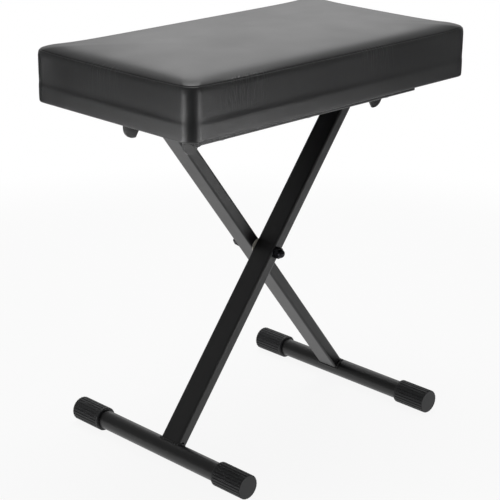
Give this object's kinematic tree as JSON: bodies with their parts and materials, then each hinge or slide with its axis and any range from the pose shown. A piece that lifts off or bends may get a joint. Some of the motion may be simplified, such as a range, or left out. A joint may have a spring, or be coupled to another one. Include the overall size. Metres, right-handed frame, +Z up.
{
  "type": "folding keyboard bench",
  "caption": "Padded rectangular bench seat hooked on the crossbars of a scissor leg frame, with ribbed rubber caps on its foot bars.",
  "frame": {"origin": "on the floor, under the middle of the seat", "axes": "+X along the seat towards the end where the front leg's crossbar is, +Y from the front leg towards the rear leg, +Z up"},
  "size_m": [0.5002, 0.319, 0.5338],
  "materials": {
    "black_faux_leather": "black vinyl faux leather with a fine grain, semi-matt",
    "cushion_foam": "open-cell polyurethane foam",
    "plywood": "sanded plywood",
    "black_nonwoven": "black spun-bonded cloth, matt",
    "black_powder_coat": "black powder coat, semi-gloss, slightly textured",
    "black_oxide_steel": "black zinc plate, satin",
    "zinc_plated_steel": "bright zinc plate",
    "black_rubber": "moulded black rubber, matt",
    "black_plastic": "moulded black polyethylene",
    "nylon": "natural nylon"
  },
  "bodies": {
    "front_leg_frame": {"front_leg_tube": "black_powder_coat", "front_leg_plug": "black_plastic", "front_leg_bush": "zinc_plated_steel", "right_crossbar": "black_powder_coat", "right_crossbar_plugs": "black_plastic", "left_foot_bar": "black_powder_coat", "left_front_foot_cap": "black_rubber", "left_rear_foot_cap": "black_rubber", "pivot_bolt": "black_oxide_steel", "pivot_nut": "black_oxide_steel", "pivot_washers": "black_oxide_steel", "pivot_spacer": "nylon"},
    "rear_leg_frame": {"rear_leg_tube": "black_powder_coat", "rear_leg_plug": "black_plastic", "rear_leg_bush": "zinc_plated_steel", "left_crossbar": "black_powder_coat", "left_crossbar_plugs": "black_plastic", "right_foot_bar": "black_powder_coat", "right_front_foot_cap": "black_rubber", "right_rear_foot_cap": "black_rubber"},
    "seat": {"seat_cover": "black_faux_leather", "seat_foam": "cushion_foam", "seat_board": "plywood", "dust_cover": "black_nonwoven", "front_rail": "black_powder_coat", "rear_rail": "black_powder_coat", "rail_end_plugs": "black_plastic", "rail_screws": "zinc_plated_steel", "rail_tee_nuts": "zinc_plated_steel", "hook_screws": "zinc_plated_steel", "left_front_hook": "black_powder_coat", "left_rear_hook": "black_powder_coat", "right_front_hook": "black_powder_coat", "right_rear_hook": "black_powder_coat"}
  },
  "joints": [
    {"name": "leg_fold", "type": "hinge", "parent": "front_leg_frame", "child": "rear_leg_frame", "pos_m": [0.003, 0, 0.2463], "axis": [0, 1, 0], "range_deg": [0, 68]},
    {"name": "seat_tilt", "type": "hinge", "parent": "front_leg_frame", "child": "seat", "pos_m": [0.16796, 0, 0.435], "axis": [0, 1, 0], "range_deg": [0, 26.52]}
  ],
  "couplings": [
    {"joint": "seat_tilt", "follows": "leg_fold", "ratio": 0.39}
  ]
}
